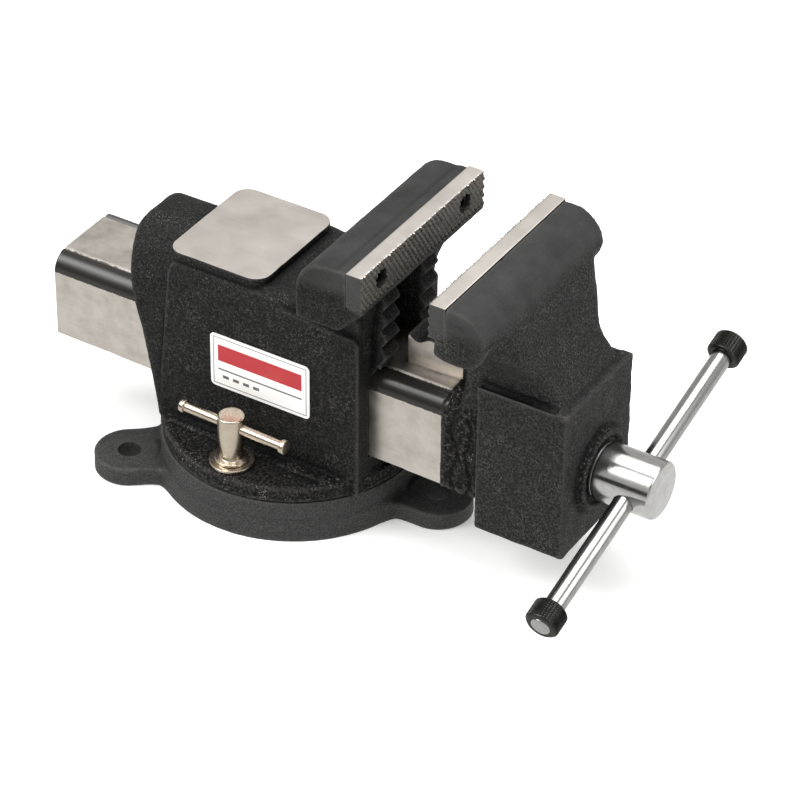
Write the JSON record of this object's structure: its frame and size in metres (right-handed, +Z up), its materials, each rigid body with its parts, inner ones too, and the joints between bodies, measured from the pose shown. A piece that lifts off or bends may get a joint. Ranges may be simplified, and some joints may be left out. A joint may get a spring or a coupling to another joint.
{
  "type": "bench vise",
  "caption": "Swivel-base bench vise: a screw-driven moving jaw on a square beam, with anvil, pipe jaws and swivel locks.",
  "frame": {"origin": "on the swivel axis at the underside of the base plate", "axes": "+X along the sliding beam towards the handle, +Z up from the bench, +Y to the left when facing +X"},
  "size_m": [0.452, 0.2558, 0.2257],
  "materials": {
    "coated_iron": "cast iron with a black textured powder coat and machined bare slides",
    "jaw_steel": "hardened steel, ground on top, serrated grip face",
    "black_steel": "blackened steel",
    "chrome": "polished bright plated steel",
    "nickel": "nickel plated steel",
    "zinc": "zinc plated steel",
    "bare_iron": "machined cast iron, greased",
    "label": "printed film label"
  },
  "bodies": {
    "base": {"base_plate": "coated_iron"},
    "swivel": {"swivel_body": "coated_iron", "fixed_jaw_plate": "jaw_steel", "fixed_jaw_screw_near": "black_steel", "fixed_jaw_screw_far": "black_steel", "spindle_nut": "bare_iron", "nut_bolt_rear": "black_steel", "nut_bolt_front": "black_steel", "lock_washer_near": "zinc", "lock_washer_far": "zinc", "lock_nut_near": "black_steel", "lock_nut_far": "black_steel", "label_plate": "label"},
    "slide": {"moving_jaw": "coated_iron", "moving_jaw_plate": "jaw_steel", "moving_jaw_screw_near": "black_steel", "moving_jaw_screw_far": "black_steel", "thrust_washer": "zinc"},
    "screw": {"spindle": "chrome", "retaining_collar": "black_steel", "collar_pin": "zinc"},
    "handle": {"handle_bar": "chrome", "handle_cap_near": "black_steel", "handle_cap_far": "black_steel"},
    "lock_near": {"lock_bolt_near": "nickel"},
    "lock_far": {"lock_bolt_far": "nickel"},
    "lock_bar_near": {"lock_bar_near": "nickel"},
    "lock_bar_far": {"lock_bar_far": "nickel"}
  },
  "joints": [
    {"name": "swivel_turn", "type": "hinge", "parent": "base", "child": "swivel", "pos_m": [0, 0, 0.0282], "axis": [0, 0, 1], "continuous": true},
    {"name": "jaw_slide", "type": "slide", "parent": "swivel", "child": "slide", "axis": [1, 0, 0], "range_m": [-0.0474, 0.1023]},
    {"name": "screw_turn", "type": "hinge", "parent": "slide", "child": "screw", "pos_m": [0.2363, 0, 0.0852], "axis": [1, 0, 0], "range_deg": [-3405, 7350]},
    {"name": "handle_slide", "type": "slide", "parent": "screw", "child": "handle", "axis": [0, 0.962, 0.2731], "range_m": [-0.0952, 0.0908]},
    {"name": "lock_turn_near", "type": "hinge", "parent": "swivel", "child": "lock_near", "pos_m": [-0.003, -0.072, 0.043], "axis": [0, 0, 1], "range_deg": [-9, 14]},
    {"name": "lock_bar_slide_near", "type": "slide", "parent": "lock_near", "child": "lock_bar_near", "axis": [0.9993, -0.0366, 0], "range_m": [-0.0298, 0.0256]},
    {"name": "lock_turn_far", "type": "hinge", "parent": "swivel", "child": "lock_far", "pos_m": [-0.003, 0.072, 0.043], "axis": [0, 0, 1], "range_deg": [-9, 14]},
    {"name": "lock_bar_slide_far", "type": "slide", "parent": "lock_far", "child": "lock_bar_far", "axis": [-0.9993, 0.0366, 0], "range_m": [-0.0298, 0.0256]}
  ],
  "couplings": [
    {"joint": "jaw_slide", "follows": "screw_turn", "m_per_rad": 0.00079577}
  ]
}
